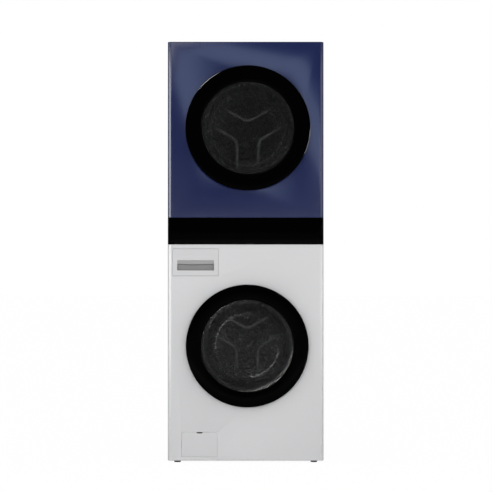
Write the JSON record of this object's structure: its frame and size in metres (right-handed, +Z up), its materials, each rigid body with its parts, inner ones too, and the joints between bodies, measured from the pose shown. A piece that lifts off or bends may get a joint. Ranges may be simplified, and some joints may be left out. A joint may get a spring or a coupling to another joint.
{
  "type": "laundry tower",
  "caption": "Front-loading washer below a front-loading dryer in one tall cabinet, with round hinged doors, a black control band, a detergent drawer and a service flap.",
  "frame": {"origin": "on the floor under the middle of the whole object, doors and water inlets included", "axes": "+Z up, -Y towards the person at the doors, +X to that person's right"},
  "size_m": [0.7, 0.83, 1.89],
  "materials": {
    "galvanised_steel": "galvanised sheet",
    "white_enamel": "satin baked enamel",
    "blue_enamel": "satin baked enamel, navy blue",
    "black_gloss": "gloss black",
    "window_glass": "dark tinted glass",
    "bowl_glass": "clear pressed glass",
    "door_liner": "fine textured plastic",
    "hinge_steel": "plated steel",
    "drum_steel": "stainless steel, brushed and perforated",
    "tub_plastic": "filled polypropylene",
    "grey_plastic": "fine textured plastic",
    "rubber": "matt rubber",
    "cast_concrete": "cast concrete",
    "motor_metal": "black painted steel",
    "stator_winding": "lacquered windings in plastic"
  },
  "bodies": {
    "cabinet": {"base_pan": "galvanised_steel", "side_panel_left": "white_enamel", "side_panel_right": "white_enamel", "rear_panel_lower": "galvanised_steel", "rear_panel_upper": "galvanised_steel", "top_cover": "white_enamel", "washer_front_panel": "white_enamel", "dryer_front_panel": "blue_enamel", "control_panel": "black_gloss", "middle_deck": "galvanised_steel", "dryer_front_bulkhead": "galvanised_steel", "compressor": "motor_metal", "heat_exchanger": "tub_plastic", "blower_housing": "tub_plastic", "dryer_motor": "motor_metal", "drive_belt": "rubber", "drawer_housing": "tub_plastic", "water_valve": "grey_plastic", "drain_pump": "grey_plastic", "dryer_hinge_bracket": "hinge_steel", "washer_hinge_bracket": "hinge_steel", "washer_door_lock": "grey_plastic", "power_gland": "rubber", "door_gasket": "rubber", "tub_spring_left": "motor_metal", "tub_spring_right": "motor_metal", "tub_damper_left": "grey_plastic", "tub_damper_right": "grey_plastic"},
    "dryer_door": {"dryer_door_ring": "black_gloss", "dryer_door_window": "window_glass", "dryer_door_liner": "door_liner", "dryer_door_inner_glass": "bowl_glass", "dryer_door_hinge": "hinge_steel"},
    "washer_door": {"washer_door_ring": "black_gloss", "washer_door_window": "window_glass", "washer_door_liner": "door_liner", "washer_door_bowl": "bowl_glass", "washer_door_hinge": "hinge_steel"},
    "washer_latch": {"washer_door_latch": "grey_plastic"},
    "dryer_drum": {"dryer_drum_shell": "drum_steel", "dryer_drum_back": "drum_steel"},
    "motor_rotor_body": {"motor_shaft": "hinge_steel"},
    "roller_left": {"drum_roller_left": "rubber"},
    "roller_right": {"drum_roller_right": "rubber"},
    "tub": {"tub_rear": "tub_plastic", "tub_front": "tub_plastic", "counterweight": "cast_concrete", "motor_stator": "stator_winding"},
    "washer_drum": {"washer_drum_shell": "drum_steel", "washer_drum_back": "drum_steel", "motor_rotor": "motor_metal"},
    "drawer": {"drawer_tray": "grey_plastic", "drawer_front": "white_enamel"},
    "flap": {"service_flap": "white_enamel"},
    "drain_filter_body": {"drain_filter": "grey_plastic"},
    "lint_filter_body": {"lint_filter": "grey_plastic"},
    "foot_front_left_body": {"foot_front_left": "rubber"},
    "foot_front_right_body": {"foot_front_right": "rubber"},
    "foot_rear_left_body": {"foot_rear_left": "rubber"},
    "foot_rear_right_body": {"foot_rear_right": "rubber"}
  },
  "joints": [
    {"name": "dryer_door_hinge_turn", "type": "hinge", "parent": "cabinet", "child": "dryer_door", "pos_m": [-0.25, -0.401, 1.502], "axis": [0, 0, -1], "range_deg": [0, 108]},
    {"name": "washer_door_hinge_turn", "type": "hinge", "parent": "cabinet", "child": "washer_door", "pos_m": [-0.248, -0.401, 0.525], "axis": [0, 0, -1], "range_deg": [0, 108]},
    {"name": "washer_latch_pull", "type": "hinge", "parent": "washer_door", "child": "washer_latch", "pos_m": [0.243, -0.396, 0.525], "axis": [0, 0, -1], "range_deg": [0, 4], "stiffness_Nm_per_rad": 0.05, "springref_deg": -5.73},
    {"name": "dryer_drum_spin", "type": "hinge", "parent": "cabinet", "child": "dryer_drum", "pos_m": [0.01, 0, 1.502], "axis": [0, 1, 0], "continuous": true},
    {"name": "motor_spin", "type": "hinge", "parent": "cabinet", "child": "motor_rotor_body", "pos_m": [-0.2, 0, 1.095], "axis": [0, 1, 0], "continuous": true},
    {"name": "roller_left_spin", "type": "hinge", "parent": "cabinet", "child": "roller_left", "pos_m": [-0.16079, 0, 1.22867], "axis": [0, 1, 0], "continuous": true},
    {"name": "roller_right_spin", "type": "hinge", "parent": "cabinet", "child": "roller_right", "pos_m": [0.18079, 0, 1.22867], "axis": [0, 1, 0], "continuous": true},
    {"name": "tub_bounce", "type": "slide", "parent": "cabinet", "child": "tub", "axis": [0, 0, 1], "range_m": [-0.008, 0.008], "stiffness_N_per_m": 30000, "springref_m": 0.01097, "deforming": ["tub_spring_left", "tub_spring_right", "tub_damper_left", "tub_damper_right", "door_gasket"]},
    {"name": "washer_drum_spin", "type": "hinge", "parent": "tub", "child": "washer_drum", "pos_m": [0.007, 0, 0.525], "axis": [0, 1, 0], "continuous": true},
    {"name": "drawer_slide", "type": "slide", "parent": "cabinet", "child": "drawer", "axis": [0, -1, 0], "range_m": [0, 0.24]},
    {"name": "service_flap_turn", "type": "hinge", "parent": "cabinet", "child": "flap", "pos_m": [-0.207, -0.37375, 0.02705], "axis": [1, 0, 0], "range_deg": [0, 90]},
    {"name": "drain_filter_turn", "type": "hinge", "parent": "cabinet", "child": "drain_filter_body", "pos_m": [-0.207, -0.3, 0.085], "axis": [0, 1, 0], "range_deg": [0, 90]},
    {"name": "lint_filter_lift", "type": "slide", "parent": "cabinet", "child": "lint_filter_body", "axis": [0, 0, 1], "range_m": [0, 0.12]},
    {"name": "foot_front_left_screw", "type": "slide", "parent": "cabinet", "child": "foot_front_left_body", "axis": [0, 0, -1], "range_m": [0, 0.02]},
    {"name": "foot_front_right_screw", "type": "slide", "parent": "cabinet", "child": "foot_front_right_body", "axis": [0, 0, -1], "range_m": [0, 0.02]},
    {"name": "foot_rear_left_screw", "type": "slide", "parent": "cabinet", "child": "foot_rear_left_body", "axis": [0, 0, -1], "range_m": [0, 0.02]},
    {"name": "foot_rear_right_screw", "type": "slide", "parent": "cabinet", "child": "foot_rear_right_body", "axis": [0, 0, -1], "range_m": [0, 0.02]}
  ],
  "couplings": [
    {"joint": "motor_spin", "follows": "dryer_drum_spin", "ratio": 14.5},
    {"joint": "roller_left_spin", "follows": "dryer_drum_spin", "ratio": -9.0625},
    {"joint": "roller_right_spin", "follows": "dryer_drum_spin", "ratio": -9.0625}
  ]
}
